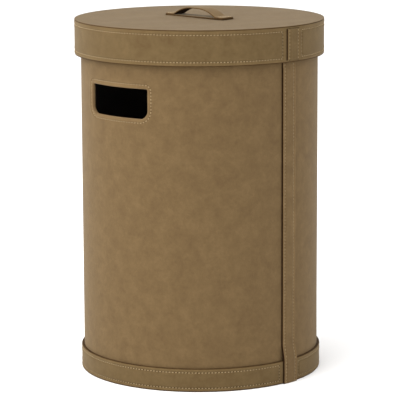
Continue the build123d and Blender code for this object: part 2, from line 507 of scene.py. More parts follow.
def top_binding(finishes):
    """The edging folded over the wall's top, with a leg down each side."""
    row = node_height("top_binding_thread")
    panel = Panel(BINDING_RADIUS, BODY_STRIP_ANGLE, row, row)
    inside = INSIDE_RADIUS - BINDING_SHEET
    fold = BINDING_SHEET * 2
    rows = spots_near(BINDING_LOW, BINDING_HIGH, [row], BAND_STEP)
    outer_face = np.array([(BINDING_RADIUS, z) for z in rows if z < BINDING_HIGH - fold])
    outer, inner = BODY_RADIUS + CLEAR, INSIDE_RADIUS - CLEAR
    corners = [(BINDING_RADIUS, BINDING_LOW), (BINDING_RADIUS, BINDING_HIGH)]
    corners += [(inside, BINDING_HIGH), (inside, BINDING_LOW)]
    over = rounded_line(corners, (0, fold, fold, 0), 8, False)[1:]
    top = WALL_HIGH + CLEAR
    hidden = np.array([(inner, BINDING_LOW), (inner, top), (outer, top), (outer, BINDING_LOW)])
    profile = np.concatenate([outer_face, over, hidden])
    finish = np.zeros(len(profile), int)
    finish[-len(hidden) - 1:] = 1
    shell = Shell()
    turned_band(shell, profile, panel.columns(), panel.push, BINDING_RADIUS, finish)
    shell.make("top_binding_leather", "bin", finishes, "top_binding")
    return panel


ROUND_ANGLES = SEAM + np.arange(ROUND_COLUMNS) * 2 * math.pi / ROUND_COLUMNS


def cloth_band(name, node, body, inner, outer, low, high, finishes):
    """A plain cloth lining stuck round the inside of a band."""
    heights = np.linspace(low, high, max(3, round((high - low) / LINING_STEP)))
    profile = section(inner, outer, low, high, heights, (0.0002, 0.0002, 0.0003, 0.0003))
    shell = Shell()
    turned_band(shell, profile, ROUND_ANGLES, still, outer, np.zeros(len(profile), int))
    piece = shell.make(name, body, finishes, node)


# ---- wall sheets with the two hand holes

HOLE_CORNERS = (0.013, 0.013, 0.003, 0.003)
HOLE_RINGS = [0, 0.2, 0.5, 0.9, 1.5, 2.2, 3.0, 3.8, 4.4, 4.9, 5.4, 5.9, 6.4, 7.0, 7.8, 9.0, 11, 14]
HOLE_RINGS = np.array(HOLE_RINGS) / 1000
HOLE_MARGIN = 0.022
WALL_STEP = 0.0065
SEAM_GAP = 0.0015


def hole_bounds():
    """The hand hole's half width and its lowest and highest point, from the row of stitches round it."""
    low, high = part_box("hand_hole_thread_right")
    inset = HOLE_STITCH_INSET + THREAD_HALF_WIDTH
    return high.y - inset, low.z + inset, high.z - inset


HOLE_HALF, HOLE_LOW, HOLE_HIGH = hole_bounds()


def hole_outline():
    """Points of the hand hole's outline in (Y, Z) and their outward normals, a few to each stitch."""
    corners = [(-HOLE_HALF, HOLE_LOW), (HOLE_HALF, HOLE_LOW), (HOLE_HALF, HOLE_HIGH), (-HOLE_HALF, HOLE_HIGH)]
    line = closed_up(rounded_line(corners, HOLE_CORNERS, 24, True))
    line = resample(line, np.linspace(0, line_length(line), 4000))[:-1]
    ahead = np.roll(line, -1, axis=0) - np.roll(line, 1, axis=0)
    normals = unit(np.stack([ahead[:, 1], -ahead[:, 0]], axis=1))
    sewn = closed_up(line + normals * HOLE_STITCH_INSET)
    count = stitch_count(line_length(sewn)) * COLUMNS_PER_STITCH
    run = run_along(sewn)
    both = closed_up(np.concatenate([line, normals], axis=1))
    both = resample(both, np.linspace(0, run[-1], count, endpoint=False), run)
    return both[:, :2], unit(both[:, 2:])


HOLE_LINE, HOLE_NORMALS = hole_outline()


def on_wall(flat, radius, side):
    """(Y, Z) points put on a wall of that radius, on the -X or the +X side."""
    y, z = flat[..., 0], flat[..., 1]
    return np.stack([side * np.sqrt(radius ** 2 - y ** 2), y, z], axis=-1)


def hole_push(distance, phase):
    """How far the leather is pushed out beside a hand hole: its rolled edge, a swell and the stitch row."""
    edge = np.clip(1 - distance / EDGE_ROUND, 0, 1)
    steepest = 0.98
    roll = EDGE_ROUND * (np.sqrt(1 - (steepest * edge) ** 2) - 1)
    return roll + pulled(distance - HOLE_STITCH_INSET, phase)


def stepped(stops, scale=1.0):
    """Values from the first stop to the last, about a wall step apart, with every stop among them."""
    parts = []
    for start, end in zip(stops[:-1], stops[1:]):
        parts.append(np.linspace(start, end, round((end - start) * scale / WALL_STEP), endpoint=False))
    return np.concatenate(parts + [np.array(stops[-1:])])


def wall_columns(radius):
    """Column angles of a wall sheet, with columns at the two sides of each hand hole's patch."""
    patch = math.asin((HOLE_HALF + HOLE_MARGIN) / radius)
    gap = SEAM_GAP / 2 / radius
    stops = [SEAM + gap, -patch, patch, math.pi - patch, math.pi + patch, SEAM + 2 * math.pi - gap]
    return stepped(stops, BODY_RADIUS), stops


def wall_rows(low, high):
    """Row heights of a wall sheet, with rows at the top and the bottom of the hand holes' patches."""
    stops = [low, HOLE_LOW - HOLE_MARGIN, HOLE_HIGH + HOLE_MARGIN, high]
    return stepped(stops), stops


def bridge(first, second, first_turn, second_turn):
    """Triangles between two loops of point numbers round one centre, each with its angle from 0 up."""
    first, second = list(first) + [first[0]], list(second) + [second[0]]
    first_turn = list(first_turn) + [first_turn[0] + 2 * math.pi]
    second_turn = list(second_turn) + [second_turn[0] + 2 * math.pi]
    faces = []
    i = j = 0
    while i < len(first) - 1 or j < len(second) - 1:
        if j == len(second) - 1 or (i < len(first) - 1 and first_turn[i + 1] <= second_turn[j + 1]):
            faces.append([first[i], first[i + 1], second[j]])
            i += 1
        else:
            faces.append([first[i], second[j + 1], second[j]])
            j += 1
    return faces


def from_lowest_turn(flat):
    """The order of a closed loop's points by their angle round the hand hole's middle, and the angles."""
    middle = np.array([0, (HOLE_LOW + HOLE_HIGH) / 2])
    turn = np.arctan2(flat[:, 1] - middle[1], flat[:, 0] - middle[0]) % (2 * math.pi)
    order = np.argsort(turn)
    return order, turn[order]


def hole_patch(shell, radius, side, push):
    """The rings of faces round one hand hole, joined to the coarser grid of the wall."""
    count = len(HOLE_LINE)
    phase = np.arange(count)[None, :] / COLUMNS_PER_STITCH
    flat = HOLE_LINE[None] + HOLE_NORMALS[None] * HOLE_RINGS[:, None, None]
    out = np.broadcast_to(radius + push(HOLE_RINGS[:, None], phase), flat.shape[:2])
    shade = 1 - smooth_step((HOLE_RINGS[:, None] - HOLE_STITCH_INSET) / MARGIN_FADE + 0.5)
    shell.add(on_wall(flat, out, side), grid_faces(len(HOLE_RINGS), count, close_columns=True), 0, shade)
    patch = math.asin((HOLE_HALF + HOLE_MARGIN) / radius)
    across_count = round(2 * patch * BODY_RADIUS / WALL_STEP)
    up_count = round((HOLE_HIGH - HOLE_LOW + 2 * HOLE_MARGIN) / WALL_STEP)
    across = radius * np.sin(np.linspace(-patch, patch, across_count + 1))
    up = np.linspace(HOLE_LOW - HOLE_MARGIN, HOLE_HIGH + HOLE_MARGIN, up_count + 1)
    frame_loop = [(y, up[0]) for y in across[:-1]] + [(across[-1], z) for z in up[:-1]]
    frame_loop += [(y, up[-1]) for y in across[:0:-1]] + [(across[0], z) for z in up[:0:-1]]
    frame_loop = np.array(frame_loop)
    ring_order, ring_turn = from_lowest_turn(flat[-1])
    loop_order, loop_turn = from_lowest_turn(frame_loop)
    points = np.concatenate([on_wall(flat[-1], out[-1], side), on_wall(frame_loop, radius, side)])
    shell.add(points, bridge(ring_order, loop_order + count, ring_turn, loop_turn))


def wall_face(shell, radius, low, high, push):
    """One face of a wall sheet: a grid with a patch at each hand hole."""
    angles, stops = wall_columns(radius)
    heights, levels = wall_rows(low, high)
    faces = grid_faces(len(heights), len(angles))
    column = faces[:, 0] % len(angles)
    middle_angle = (angles[column] + angles[column + 1]) / 2
    middle_height = heights[faces[:, 0] // len(angles)] + CLEAR
    beside = (middle_height > levels[1]) & (middle_height < levels[2])
    right = (middle_angle > stops[1]) & (middle_angle < stops[2])
    left = (middle_angle > stops[3]) & (middle_angle < stops[4])
    shell.add(on_axis(radius, angles[None, :], heights[:, None]), faces[~(beside & (right | left))])
    for side in (-1, 1):
        hole_patch(shell, radius, side, push)


def wall_sheet(name, node, outer, inner, low, high, push, finishes, edge_finish):
    """A sheet rolled round the wall: two faces, and the cut edges that join them."""
    shell = Shell()
    wall_face(shell, outer, low, high, push)
    wall_face(shell, inner, low, high, still)
    columns = len(wall_columns(outer)[0])
    heights = wall_rows(low, high)[0]
    for z in (low, high):
        edge = [on_axis(radius, wall_columns(radius)[0], z) for radius in (outer, inner)]
        shell.add(np.stack(edge), grid_faces(2, columns), edge_finish)
    for end in (0, -1):
        edge = [on_axis(radius, wall_columns(radius)[0][end], heights) for radius in (outer, inner)]
        shell.add(np.stack(edge), grid_faces(2, len(heights)), edge_finish)
    phase = np.arange(len(HOLE_LINE)) / COLUMNS_PER_STITCH
    pushed = outer + push(np.zeros(len(HOLE_LINE)), phase)
    for side in (-1, 1):
        edge = [on_wall(HOLE_LINE, radius, side) for radius in (pushed, inner)]
        shell.add(np.stack(edge), grid_faces(2, len(HOLE_LINE), close_columns=True), edge_finish)
    piece = shell.make(name, "bin", finishes, node, weld=True)


def hole_paint(name, side, finish):
    """The painted film over the cut edges inside a hand hole."""
    low, high = INSIDE_RADIUS - CLEAR, BODY_RADIUS - EDGE_ROUND
    radii = np.linspace(low, high, 4)
    profile = section(0, -PAINT_FILM, low, high, radii, (0.00015, 0.0003, 0, 0))
    inset, radius = profile[:, 0][:, None, None], profile[:, 1][:, None]
    flat = HOLE_LINE[None] + HOLE_NORMALS[None] * inset
    shell = Shell()
    faces = grid_faces(len(profile), len(HOLE_LINE), close_rows=True, close_columns=True)
    shell.add(on_wall(flat, np.broadcast_to(radius, flat.shape[:2]), side), faces)
    shell.make(name, "bin", [finish])


def hole_stitches(name, node, side):
    """The row of stitches round a hand hole, outside and inside."""
    flat = closed_up((HOLE_LINE + HOLE_NORMALS * HOLE_STITCH_INSET)[::COLUMNS_PER_STITCH])
    shell = Shell()
    for radius, sign in ((BODY_RADIUS, 1), (INSIDE_RADIUS, -1)):
        holes = on_wall(flat, radius, side)
        normals = unit(holes * np.array([1, 1, 0])) * sign
        sew(shell, holes, normals, 3, sign > 0, HOLE_THREAD_SHADE)
    shell.make(name, "bin", SEWN, node)


# ---- discs

DISC_CELLS = 60
DISC_WAVE = 0.11


def square_disc(cells):
    """A unit disc of quads with its edge's points evenly spaced: points, faces and the edge's numbers."""
    spread = math.sqrt(2) * np.sin(np.linspace(-1, 1, cells + 1) * math.pi / 4)
    a, b = np.meshgrid(spread, spread)
    points = np.stack([a * np.sqrt(1 - b ** 2 / 2), b * np.sqrt(1 - a ** 2 / 2)], axis=-1).reshape(-1, 2)
    side = cells + 1
    bottom = np.arange(cells)
    right = cells + side * np.arange(cells)
    top = side * cells + cells - np.arange(cells)
    left = side * (cells - np.arange(cells))
    return points, grid_faces(side, side), np.concatenate([bottom, right, top, left])


def disc_sheet(name, node, body, finishes, rounds, bump=0.0, shade=0.0):
    """A disc of sheet: rounds are its edge's radii above and below, and bump the height of its unevenness."""
    radius, low, high = node_radius(node), node_low(node), node_high(node)
    points, faces, loop = square_disc(DISC_CELLS)
    edge = section(0, radius, low, high, [], (rounds[1], rounds[0], 0, 0))
    edge = edge[edge[:, 0] > 0]
    shell = Shell()
    for z, inset, wave in ((high, rounds[0], bump), (low, rounds[1], 0)):
        flat = points * (radius - inset)
        inside = smooth_step((1 - np.linalg.norm(points, axis=1)) * 12)
        uneven = waviness(flat[:, 0], flat[:, 1], DISC_WAVE, 5) * wave * inside
        shell.add(np.column_stack([flat, z + uneven]), faces, 0, shade)
    turn = np.arctan2(points[loop][:, 1], points[loop][:, 0])
    ring = on_axis(edge[:, 0][:, None], turn[None, :], edge[:, 1][:, None])
    middles = (edge[:-1] + edge[1:]) / 2
    inked = (middles[:, 1] < high - rounds[0] * 0.6).astype(int) * (len(finishes) - 1)
    faces = grid_faces(len(edge), len(loop), close_columns=True)
    shell.add(ring, faces, np.repeat(inked, len(loop)), shade)
    piece = shell.make(name, body, finishes, node, weld=True)
    flat = (2 * radius, 2 * radius)


# ---- upright strips over the seam


def body_strip_path(height):
    """Radius that the seam strip's back follows: out over the base band below and over the binding above."""
    over_band = 1 - smooth_step((height - BAND_HIGH) / STRIP_DRAPE)
    over_binding = smooth_step((height - BINDING_LOW + STRIP_DRAPE) / STRIP_DRAPE)
    path = BODY_RADIUS + (BAND_RADIUS - BODY_RADIUS) * over_band
    return path + BINDING_SHEET * over_binding


def rim_strip_path(height):
    return RIM_RADIUS + 0 * height


def body_strip_sheet(height):
    """The strip's thickness: plump below the lid, pressed thin under its rim."""
    pressed = smooth_step((height - RIM_LOW + 2 * STRIP_PRESS) / STRIP_PRESS)
    return STRIP_SHEET + STRIP_SWELL * (1 - pressed)


def lid_strip_sheet(height):
    return LID_STRIP_SHEET + 0 * height


def distance_out(offset, rows):
    """How far a place lies outside a pair of rows, or between them where it is below 0."""
    return np.abs(offset - (rows[0] + rows[1]) / 2) - (rows[1] - rows[0]) / 2


def strip_piece(name, node, body, angle, radius, sheet_at, path, low, high, finishes):
    """A strip of leather up the seam with rounded, inked long edges and two grooves for its stitches."""
    half = angle * radius
    sheet = float(sheet_at(low))
    rows = [-half + STRIP_STITCH_INSET, half - STRIP_STITCH_INSET]
    across = spots_near(-half, half, rows, 0.002)
    profile = section(0, sheet, -half, half, across, (EDGE_ROUND, EDGE_ROUND, 0.0002, 0.0002))
    middles = segment_middles(profile)
    inked = (np.abs(middles[:, 1]) > half - INK_REACH * 0.55) | (middles[:, 0] < sheet - EDGE_ROUND)
    count = stitch_count(high - low)
    heights = np.linspace(low, high, count * COLUMNS_PER_STITCH + 1)
    near = np.array([0.0002, 0.0005, 0.0009])
    heights = np.sort(np.concatenate([heights, low + near, high - near]))[:, None]
    end = np.clip(np.minimum(heights - low, high - heights) / EDGE_ROUND, 0, 1)
    keep = 1 - END_THINNING + END_THINNING * np.sqrt(1 - (1 - end) ** 2)
    thickness, offset = profile[:, 0][None, :], profile[:, 1][None, :]
    phase = (heights - low) / (high - low) * count
    distance = np.minimum(np.abs(offset - rows[0]), np.abs(offset - rows[1]))
    face = np.isclose(thickness, sheet)
    crown = STRIP_CROWN * (1 - (offset / half) ** 2)
    pushed = thickness * keep * sheet_at(heights) / sheet
    pushed = pushed + np.where(face, pulled(distance, phase) + crown, 0)
    points = on_axis(path(heights) + pushed, SEAM + offset / radius, heights)
    shell = Shell()
    faces = grid_faces(len(heights), len(profile), close_columns=True)
    shade = smooth_step(distance_out(offset, rows) / MARGIN_FADE + 0.5) + 0 * heights
    shell.add(points, faces, np.tile(inked.astype(int), len(heights) - 1), shade)
    for end_points in (points[0], points[-1]):
        shell.add(end_points, [list(range(len(profile)))], 1)
    shell.make(name, body, finishes, node, weld=True)
    return low + (high - low) * np.arange(count + 1) / count


def strip_stitches(name, node, body, angle, radius, sheet_at, path, heights):
    """The two rows of stitches up a seam strip."""
    half = angle * radius - STRIP_STITCH_INSET
    shell = Shell()
    for side in (-1, 1):
        radii = path(heights) + sheet_at(heights)
        upright_row(shell, radii, SEAM + side * half / radius, heights, 11 + side, STRIP_THREAD_SHADE)
    shell.make(name, body, SEWN, node)


def band_stitches(name, node, body, panel, height, inside, seed, shade=0.0):
    """One row of stitches round a band, and its inner side where inside gives the radius of that face."""
    shell = Shell()
    ring_row(shell, panel.radius, height, panel.holes, True, seed, shade)
    if inside:
        ring_row(shell, inside, height, panel.holes, False, seed + 1)
    shell.make(name, body, SEWN, node)


def end_stitches(name, body, panel):
    """The upright rows that close a band's stitched outline, one each side of the seam strip."""
    count = stitch_count(panel.high_row - panel.low_row)
    heights = np.linspace(panel.low_row, panel.high_row, count + 1)
    shell = Shell()
    for angle in (panel.start, panel.end):
        upright_row(shell, panel.radius, angle, heights, 17, FAINT_THREAD_SHADE)
    shell.make(name, body, SEWN)


# ---- strap handle

FOOT_HALF_SPAN = 0.0425
CROWN_HALF_SPAN = 0.0215
FOOT_BEND = 0.006
CROWN_BEND = 0.060
TAB_STITCH_WIDTH = 0.0180
TAB_STITCH_LENGTH = 0.0096
TAB_STITCH_MIDDLE = 0.0516
TAB_STITCH_PITCH = 0.0036
STRAP_ROUND = 0.0007
STRAP_CORNER = 0.002
STRAP_CROWN = 0.00025


def swept_strap(shell, line, width, sheet):
    """A flat strap whose middle surface follows a (Y, Z) line, with rounded long edges and blunt ends."""
    ahead = unit(np.gradient(line, axis=0))
    out = np.stack([-ahead[:, 1], ahead[:, 0]], axis=1)
    half = width / 2
    across = np.linspace(-half, half, 13)
    rounds = (STRAP_ROUND, STRAP_ROUND, 0.0005, 0.0005)
    profile = section(-sheet / 2, sheet / 2, -half, half, across, rounds)
    middles = segment_middles(profile)
    run = run_along(line)
    from_end = np.minimum(run, run[-1] - run)
    narrow = STRAP_CORNER * (1 - np.sqrt(1 - np.clip(1 - from_end / STRAP_CORNER, 0, 1) ** 2))
    blunt = 0.72 + 0.28 * np.sqrt(1 - np.clip(1 - from_end / EDGE_ROUND, 0, 1) ** 2)
    thickness = profile[:, 0][None, :] * blunt[:, None]
    offset = profile[:, 1][None, :] * (1 - narrow / half)[:, None]
    thickness = thickness + STRAP_CROWN * (1 - (profile[:, 1][None, :] / half) ** 2)
    points = np.stack([
        np.broadcast_to(offset, thickness.shape),
        line[:, 0][:, None] + out[:, 0][:, None] * thickness,
        line[:, 1][:, None] + out[:, 1][:, None] * thickness,
    ], axis=-1)
    finish = np.array([strap_finish(t, s, half, sheet) for t, s in middles])
    faces = grid_faces(len(line), len(profile), close_columns=True)
    shell.add(points, faces, np.tile(finish, len(line) - 1))
    for end_points in (points[0], points[-1]):
        shell.add(end_points, [list(range(len(profile)))], 1)


def strap_finish(thickness, offset, half, sheet):
    """Leather on the face, ink on the long edges and the dark back below."""
    if abs(offset) > half - STRAP_ROUND or abs(thickness) < sheet / 2 - FACE_DEPTH:
        return 1
    return 0 if thickness > 0 else 2


def end_spots(length, step):
    """Distances along a strap: even, and closer together towards its two ends."""
    close = np.array([0, 0.1, 0.25, 0.45, 0.7, 1.0, 1.4, 1.9]) / 1000
    even = np.linspace(0.003, length - 0.003, round(length / step))
    return np.concatenate([close, even, length - close[::-1]])


def handle_base(finishes):
    """The flat patch of leather under the strap."""
    low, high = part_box("handle_base")
    middle = (low.z + high.z) / 2
    line = resample(np.array([(low.y, middle), (high.y, middle)]), end_spots(high.y - low.y, 0.003))
    shell = Shell()
    swept_strap(shell, line, high.x - low.x, high.z - low.z)
    shell.make("handle_base_leather", "lid", finishes, "handle_base", weld=True)


def handle_strap(finishes):
    """The strap: a flat tab at each end and an arch between them."""
    low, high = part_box("handle_strap")
    base = node_high("handle_base")
    sheet = node_low("handle_threads") - base
    tab = base + sheet / 2
    crown = high.z - sheet / 2
    left = [(low.y, tab), (-FOOT_HALF_SPAN, tab), (-CROWN_HALF_SPAN, crown)]
    right = [(-y, z) for y, z in reversed(left)]
    line = rounded_line(left + right, (0, FOOT_BEND, CROWN_BEND, CROWN_BEND, FOOT_BEND, 0), 16, False)
    line = resample(line, end_spots(line_length(line), 0.0014))
    shell = Shell()
    swept_strap(shell, line, high.x - low.x, sheet)
    shell.make("handle_strap_leather", "lid", finishes, "handle_strap", weld=True)


def handle_stitches():
    """A sewn rectangle on each of the strap's tabs."""
    top = node_low("handle_threads")
    shell = Shell()
    for side in (-1, 1):
        x, y = TAB_STITCH_WIDTH / 2, TAB_STITCH_LENGTH / 2
        middle = side * TAB_STITCH_MIDDLE
        corners = [(-x, middle - y), (x, middle - y), (x, middle + y), (-x, middle + y), (-x, middle - y)]
        for start, end in zip(corners[:-1], corners[1:]):
            count = round(math.dist(start, end) / TAB_STITCH_PITCH)
            flat = np.linspace(start, end, count + 1)
            holes = np.column_stack([flat, np.full(count + 1, top)])
            sew(shell, holes, np.broadcast_to([0.0, 0.0, 1.0], holes.shape), seed=23, sunk=False)
    shell.make("handle_stitches", "lid", [THREAD], "handle_threads")


# ---- finishes

YARN_WAVE = 0.0011


def tone(red, green, blue):
    """A shader colour from the 0 to 255 values of a display."""
    values = [value / 255 for value in (red, green, blue)]
    return tuple(v / 12.92 if v < 0.04045 else ((v + 0.055) / 1.055) ** 2.4 for v in values) + (1,)


class Finish:
    """A node material, put together step by step."""

    def __init__(self, name, roughness=0.8, specular=0.5):
        self.material = bpy.data.materials.new(name)
        self.material.use_nodes = True
        self.tree = self.material.node_tree
        self.shader = self.tree.nodes["Principled BSDF"]
        self.shader.inputs["Roughness"].default_value = roughness
        self.shader.inputs["Specular IOR Level"].default_value = specular
        self.place = self.tree.nodes.new("ShaderNodeTexCoord").outputs["Object"]

    def link(self, source, target):
        self.tree.links.new(source, target)

    def set(self, **values):
        for name, value in values.items():
            self.shader.inputs[name.replace("_", " ")].default_value = value

    def feed(self, source, name):
        self.link(source, self.shader.inputs[name])

    def noise(self, scale, detail, roughness, distortion=0.0):
        node = self.tree.nodes.new("ShaderNodeTexNoise")
        node.inputs["Scale"].default_value = scale
        node.inputs["Detail"].default_value = detail
        node.inputs["Roughness"].default_value = roughness
        node.inputs["Distortion"].default_value = distortion
        self.link(self.place, node.inputs["Vector"])
        return node.outputs["Fac"]

    def math(self, operation, first, second=0.0):
        """The result of an operation on two values, each one a number or a node's output."""
        node = self.tree.nodes.new("ShaderNodeMath")
        node.operation = operation
        for socket, value in zip(node.inputs, (first, second)):
            if isinstance(value, (int, float)):
                socket.default_value = value
            else:
                self.link(value, socket)
        return node.outputs["Value"]

    def ramp(self, source, stops):
        """A colour that follows a value. stops holds (value, colour)."""
        node = self.tree.nodes.new("ShaderNodeValToRGB")
        elements = node.color_ramp.elements
        while len(elements) < len(stops):
            elements.new(0.5)
        for element, (position, colour) in zip(elements, stops):
            element.position = position
            element.color = colour
        self.link(source, node.inputs["Fac"])
        return node.outputs["Color"]

    def bump(self, height, distance, strength, under=None):
        node = self.tree.nodes.new("ShaderNodeBump")
        node.inputs["Distance"].default_value = distance
        node.inputs["Strength"].default_value = strength
        self.link(height, node.inputs["Height"])
        if under:
            self.link(under, node.inputs["Normal"])
        return node.outputs["Normal"]

    def shaded(self, colour):
        """The colour made lighter or darker by the piece's own shade at each point, which is its own tone
        and, on the lid's top, painted shade.
        """
        shade = self.tree.nodes.new("ShaderNodeAttribute")
        shade.attribute_name = "shade"
        gain = self.math("ADD", self.math("MULTIPLY", shade.outputs["Fac"], SHADE_GAIN), 1.0)
        scale = self.tree.nodes.new("ShaderNodeVectorMath")
        scale.operation = "SCALE"
        self.link(colour, scale.inputs[0])
        self.link(gain, scale.inputs["Scale"])
        return scale.outputs["Vector"]

    def mottle(self, noise, dark, light, depth, strength):
        """An uneven tone from dark to light with a relief that follows it. Gives the noise and the colour."""
        spots = self.noise(*noise)
        colour = self.ramp(spots, [(0.3, tone(*dark)), (0.7, tone(*light))])
        self.feed(colour, "Base Color")
        self.feed(self.bump(spots, depth, strength), "Normal")
        return spots, colour

    def weave_ways(self, round_wall):
        """The two directions of a weave: round the wall and up it, or along X and Y on a flat sheet."""
        split = self.tree.nodes.new("ShaderNodeSeparateXYZ")
        self.link(self.place, split.inputs["Vector"])
        x, y, z = split.outputs
        if not round_wall:
            return x, y
        return self.math("MULTIPLY", self.math("ARCTAN2", y, x), BODY_RADIUS), z


def nubuck(name, *tones):
    """Brushed leather: soft clouds at three scales, short nap and a slight sheen. Tones run dark to light."""
    finish = Finish(name, specular=0.06)
    clouds = finish.noise(46, 5, 0.62, 0.3)
    marks = finish.noise(170, 4, 0.6, 0.5)
    nap = finish.noise(1500, 2, 0.6)
    mixed = finish.math("ADD", finish.math("MULTIPLY", clouds, 0.55), finish.math("MULTIPLY", marks, 0.35))
    mixed = finish.math("ADD", mixed, finish.math("MULTIPLY", nap, 0.10))
    hide = finish.ramp(mixed, [(stop, tone(*colour)) for stop, colour in zip((0.36, 0.5, 0.64), tones)])
    finish.feed(finish.shaded(hide), "Base Color")
    rough = finish.math("ADD", finish.math("MULTIPLY", marks, 0.2), 0.78)
    finish.feed(rough, "Roughness")
    coarse = finish.bump(marks, 0.0004, 0.35)
    finish.feed(finish.bump(nap, 0.0002, 0.6, coarse), "Normal")
    finish.set(Sheen_Weight=0.12, Sheen_Roughness=0.45, Sheen_Tint=(1, 0.88, 0.68, 1))
    return finish.material


def edge_ink(name, dark, light):
    """Dark edge paint, a little uneven."""
    finish = Finish(name, specular=0.05)
    runs, _ = finish.mottle((220, 3, 0.55), dark, light, 0.0003, 0.5)
    finish.feed(finish.math("ADD", finish.math("MULTIPLY", runs, 0.25), 0.6), "Roughness")
    return finish.material


def reveal_paint():
    """The brown paint inside the hand holes."""
    finish = Finish("reveal_paint", 0.6, 0.3)
    finish.mottle((260, 3, 0.55), (112, 88, 58), (134, 108, 74), 0.0003, 0.5)
    return finish.material


def leather_back():
    """The dark flesh side of the leather."""
    finish = Finish("leather_back", 0.95, 0.2)
    finish.mottle((900, 3, 0.7, 0.8), (44, 30, 18), (74, 54, 36), 0.0003, 0.7)
    return finish.material


def felt():
    """The pressed, non-woven sheet under the bin."""
    finish = Finish("underside_felt", 1.0, 0.1)
    finish.mottle((700, 5, 0.75, 2.0), (38, 32, 28), (66, 58, 50), 0.0004, 0.8)
    return finish.material


def grey_board():
    """Rolled grey board with short darker fibres."""
    finish = Finish("grey_board", 0.9, 0.2)
    finish.mottle((500, 4, 0.7, 1.5), (118, 106, 90), (150, 138, 120), 0.0003, 0.5)
    return finish.material


def thread():
    """Waxed thread, a little lighter than the leather, with its fine twist."""
    finish = Finish("thread", 0.7, 0.12)
    _, yarn = finish.mottle((3500, 2, 0.6), (156, 135, 102), (180, 158, 124), 0.0001, 0.6)
    finish.feed(finish.shaded(yarn), "Base Color")
    return finish.material


def needle_hole_painted_shade():
    """Painted shade: the dark colour put inside each stitch hole."""
    finish = Finish("needle_hole", roughness=1.0, specular=0.0)
    finish.set(Base_Color=tone(34, 24, 14))
    return finish.material


def cloth(name, round_wall):
    """Plain-woven dark cloth, with its yarns round a wall or straight across a flat sheet."""
    finish = Finish(name, roughness=0.95, specular=0.15)
    first, second = finish.weave_ways(round_wall)
    pitch = 2 * math.pi / YARN_WAVE
    warp = finish.math("SINE", finish.math("MULTIPLY", first, pitch))
    weft = finish.math("SINE", finish.math("MULTIPLY", second, pitch))
    weave = finish.math("ADD", finish.math("MULTIPLY", finish.math("MULTIPLY", warp, weft), 0.5), 0.5)
    slub = finish.noise(120, 4, 0.6)
    shade = finish.math("ADD", finish.math("MULTIPLY", weave, 0.5), finish.math("MULTIPLY", slub, 0.5))
    finish.feed(finish.ramp(shade, [(0.2, tone(30, 22, 17)), (0.8, tone(56, 43, 34))]), "Base Color")
    finish.feed(finish.bump(weave, 0.00025, 0.8), "Normal")
    finish.set(Sheen_Weight=0.15, Sheen_Roughness=0.5)
    return finish.material


def floor_finish():
    """The studio's pale floor."""
    finish = Finish("pale_floor", roughness=0.9, specular=0.1)
    patches = finish.noise(1.5, 2, 0.5)
    stops = [(0.3, (0.965, 0.965, 0.965, 1)), (0.7, (0.98, 0.98, 0.98, 1))]
    finish.feed(finish.ramp(patches, stops), "Base Color")
    return finish.material


LEATHER = nubuck("nubuck", (90, 71, 47), (96, 77, 51), (103, 83, 56))
BAND_LEATHER = nubuck("nubuck_bands", (85, 67, 42), (90, 73, 47), (96, 78, 51))
INK = edge_ink("edge_ink", (54, 37, 18), (72, 52, 28))
STRIP_INK = edge_ink("strip_edge_ink", (32, 18, 6), (44, 27, 12))
STRAP_INK = edge_ink("strap_edge_ink", (78, 58, 34), (96, 74, 46))
REVEAL = reveal_paint()
BACK = leather_back()
THREAD = thread()
# The thread, and painted shade inside its stitch holes
SEWN = (THREAD, needle_hole_painted_shade())
WALL_CLOTH = cloth("wall_cloth", True)
FLAT_CLOTH = cloth("flat_cloth", False)
FELT = felt()
BOARD = grey_board()


# ---- the bin's pieces


def build_bin():
    cover = (LEATHER, INK)
    wall_sheet("wall_leather", "wall_cover", BODY_RADIUS, BOARD_RADIUS + CLEAR, WALL_LOW, WALL_HIGH,
               hole_push, cover, 1)
    wall_sheet("wall_lining_cloth", "wall_lining", LINING_RADIUS - CLEAR, INSIDE_RADIUS,
               node_low("wall_lining"), node_high("wall_lining"), still, (WALL_CLOTH,), 0)
    for name, side in (("left", -1), ("right", 1)):
        hole_paint(f"hand_hole_edge_{name}", side, REVEAL)
        hole_stitches(f"hand_hole_stitches_{name}", f"hand_hole_thread_{name}", side)
    # The base band's foot carries edge ink and, above it, painted shade where it meets the floor
    band = sewn_band("base_band_leather", "base_band", "base_band_thread", "bin", (BAND_LEATHER, INK),
                     BODY_STRIP_ANGLE, BODY_RADIUS, (EDGE_ROUND, 0.0012, 0.0005, 0.0003),
                     (FOOT_INK_AND_SHADE_REACH, HEAD_INK_REACH), [BAND_LOW + FOOT_INK_AND_SHADE_REACH])
    binding = top_binding((LEATHER, BACK))
    rows = (("upper", band.high_row, 31, 0.0), ("lower", band.low_row, 33, FOOT_THREAD_SHADE))
    for name, height, seed, shade in rows:
        band_stitches(f"base_band_stitches_{name}", f"base_band_thread_{name}", "bin", band, height, 0,
                      seed, shade)
    end_stitches("base_band_stitches_ends", "bin", band)
    band_stitches("top_binding_stitches", "top_binding_thread", "bin", binding, binding.low_row,
                  INSIDE_RADIUS - BINDING_SHEET, 35)
    strip = ("bin", BODY_STRIP_ANGLE, BODY_RADIUS, body_strip_sheet, body_strip_path)
    holes = strip_piece("seam_strip_leather", "seam_strip", *strip, node_low("seam_strip"),
                        node_high("seam_strip"), (LEATHER, STRIP_INK))
    strip_stitches("seam_strip_stitches", "seam_strip_threads", *strip, holes)
    disc_sheet("base_lining_cloth", "base_lining", "bin", (FLAT_CLOTH,),
               (0.0003, 0.0002), 0.0004)
    disc_sheet("underside_felt_sheet", "underside_cover", "bin", (FELT,),
               (0.0002, 0.0003))


